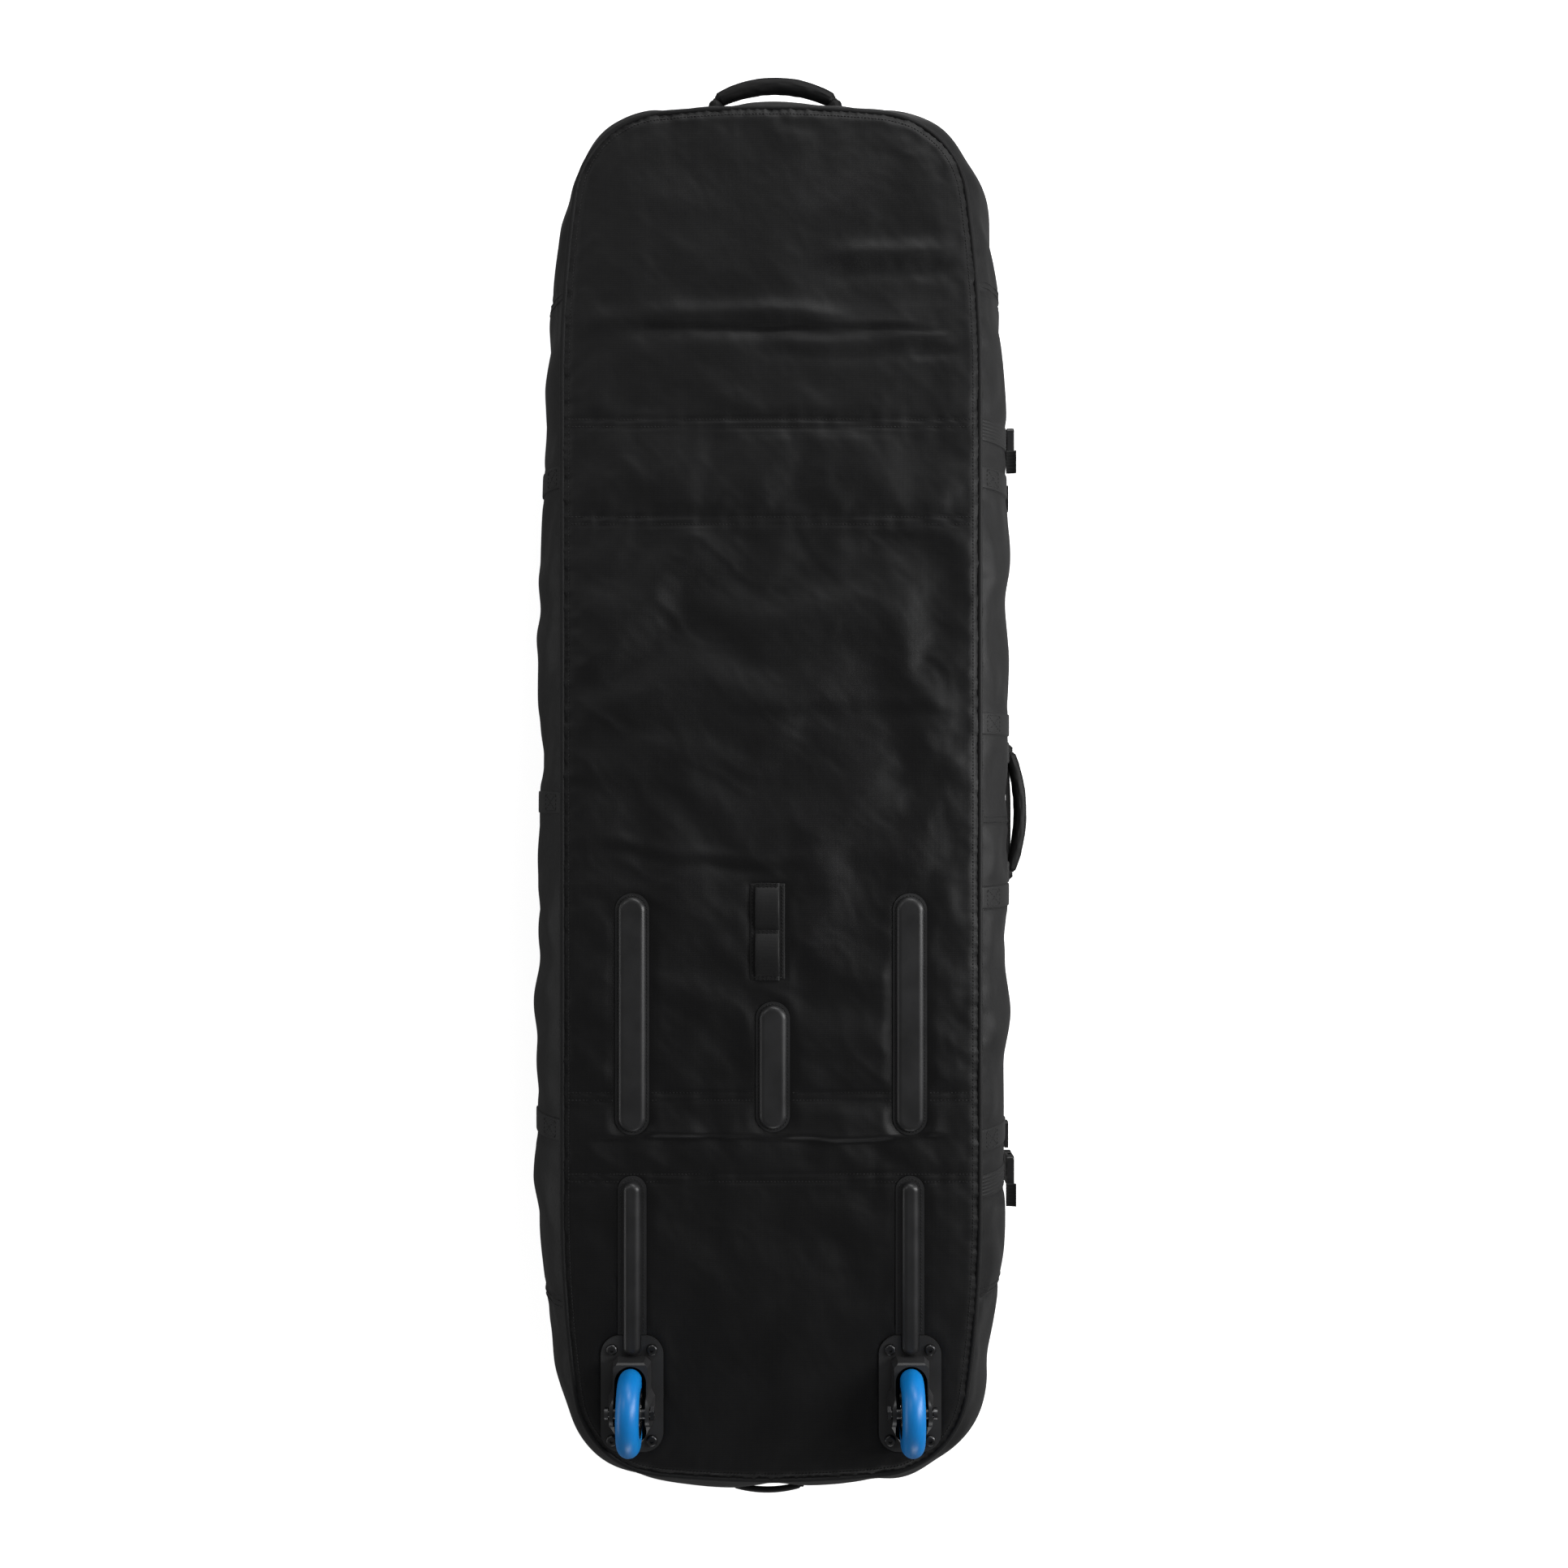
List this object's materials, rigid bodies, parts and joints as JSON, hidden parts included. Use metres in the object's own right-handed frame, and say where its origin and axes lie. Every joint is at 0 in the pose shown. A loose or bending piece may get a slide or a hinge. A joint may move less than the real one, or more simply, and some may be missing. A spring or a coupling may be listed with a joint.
{
  "type": "snowboard bag",
  "caption": "Long padded travel bag for a snowboard, with wheels, skid pads, carry handles, side straps and a zipped, hinged lid.",
  "frame": {"origin": "middle of the lid's outer face, on which the bag lies", "axes": "+X to the bag's right, +Y along the bag towards the carry handle at the end away from the wheels, +Z out of the back panel, which carries the wheels"},
  "size_m": [0.5551, 1.6101, 0.309],
  "materials": {
    "shell_fabric": "plain-weave polyester shell, faintly glossy",
    "webbing": "ribbed polyester webbing",
    "piping_tape": "woven tape and cord",
    "foam": "closed-cell foam sheet",
    "moulded_plastic": "satin moulded nylon",
    "pad_plastic": "satin moulded elastomer",
    "board_plastic": "polyethylene sheet",
    "screw_steel": "black-oxide steel",
    "bright_steel": "ground bearing steel",
    "zip_metal": "black painted zinc",
    "wheel_urethane": "glossy cast urethane",
    "wheel_core": "moulded nylon hub"
  },
  "bodies": {
    "bag": {"back_panel": "shell_fabric", "gusset_left": "shell_fabric", "gusset_right": "shell_fabric", "gusset_top": "shell_fabric", "gusset_bottom": "shell_fabric", "lid_hinge_web": "shell_fabric", "back_piping": "piping_tape", "zip_tape_gusset": "piping_tape", "back_foam": "foam", "base_sheet": "board_plastic", "storage_patch": "webbing", "storage_loops": "webbing", "gusset_tabs": "webbing", "strap_webs_back": "webbing", "strap_webs_front": "webbing", "strap_tails": "webbing", "handle_patches": "webbing", "side_strap": "webbing", "side_strap_anchors": "webbing", "tie_down_webs": "webbing", "wheel_housing_left": "moulded_plastic", "wheel_housing_right": "moulded_plastic", "buckle_socket_upper": "moulded_plastic", "buckle_socket_lower": "moulded_plastic", "tab_sliders": "moulded_plastic", "tie_down_buckles": "moulded_plastic", "skid_pad_left": "pad_plastic", "skid_pad_right": "pad_plastic", "skid_pad_middle": "pad_plastic", "kick_rail_left": "pad_plastic", "kick_rail_right": "pad_plastic", "housing_screws": "screw_steel", "housing_nuts": "screw_steel", "backing_plates": "screw_steel", "axle_nuts": "screw_steel", "axle_bolts": "screw_steel", "axle_spacers": "bright_steel", "bearing_inner_rings": "bright_steel"},
    "lid": {"lid_panel": "shell_fabric", "lid_foam": "foam", "lid_piping": "piping_tape", "zip_tape_lid": "piping_tape"},
    "wheel_left": {"wheel_tyre_left": "wheel_urethane", "wheel_core_left": "wheel_core", "bearing_outer_rings_left": "bright_steel"},
    "wheel_right": {"wheel_tyre_right": "wheel_urethane", "wheel_core_right": "wheel_core", "bearing_outer_rings_right": "bright_steel"},
    "slider_upper": {"zip_slider_upper": "zip_metal"},
    "slider_lower": {"zip_slider_lower": "zip_metal"},
    "puller_upper": {"zip_puller_upper": "zip_metal"},
    "puller_lower": {"zip_puller_lower": "zip_metal"},
    "top_handle": {"top_handle_web": "webbing", "top_handle_grip": "piping_tape"},
    "side_handle": {"side_handle_web": "webbing", "side_handle_grip": "piping_tape"},
    "bottom_handle": {"bottom_handle": "webbing"},
    "tongue_upper": {"buckle_tongue_upper": "moulded_plastic"},
    "tongue_lower": {"buckle_tongue_lower": "moulded_plastic"}
  },
  "joints": [
    {"name": "wheel_left_spin", "type": "hinge", "parent": "bag", "child": "wheel_left", "pos_m": [-0.15, -0.657, 0.264], "axis": [1, 0, 0], "continuous": true},
    {"name": "wheel_right_spin", "type": "hinge", "parent": "bag", "child": "wheel_right", "pos_m": [0.15, -0.657, 0.264], "axis": [1, 0, 0], "continuous": true},
    {"name": "lid_hinge", "type": "hinge", "parent": "bag", "child": "lid", "pos_m": [-0.23, 0, 0.011], "axis": [0, 1, 0], "range_deg": [0, 180]},
    {"name": "zip_upper_slide", "type": "slide", "parent": "bag", "child": "slider_upper", "axis": [0, 1, 0], "range_m": [0, 0.38]},
    {"name": "zip_lower_slide", "type": "slide", "parent": "bag", "child": "slider_lower", "axis": [0, -1, 0], "range_m": [0, 0.38]},
    {"name": "puller_upper_flip", "type": "hinge", "parent": "slider_upper", "child": "puller_upper", "pos_m": [0.23608, 0.03, 0.021], "axis": [0, 0, -1], "range_deg": [0, 170]},
    {"name": "puller_lower_flip", "type": "hinge", "parent": "slider_lower", "child": "puller_lower", "pos_m": [0.23608, -0.03, 0.021], "axis": [0, 0, 1], "range_deg": [0, 170]},
    {"name": "top_handle_swing", "type": "hinge", "parent": "bag", "child": "top_handle", "pos_m": [0, 0.78828, 0.1275], "axis": [1, 0, 0], "range_deg": [-60, 60]},
    {"name": "side_handle_swing", "type": "hinge", "parent": "bag", "child": "side_handle", "pos_m": [0.27055, 0, 0.1275], "axis": [0, 1, 0], "range_deg": [-60, 60]},
    {"name": "bottom_handle_swing", "type": "hinge", "parent": "bag", "child": "bottom_handle", "pos_m": [0, -0.78628, 0.1275], "axis": [1, 0, 0], "range_deg": [-60, 60]},
    {"name": "buckle_upper_release", "type": "slide", "parent": "bag", "child": "tongue_upper", "axis": [0, 0, -1], "range_m": [0, 0.018]},
    {"name": "buckle_lower_release", "type": "slide", "parent": "bag", "child": "tongue_lower", "axis": [0, 0, -1], "range_m": [0, 0.018]}
  ]
}
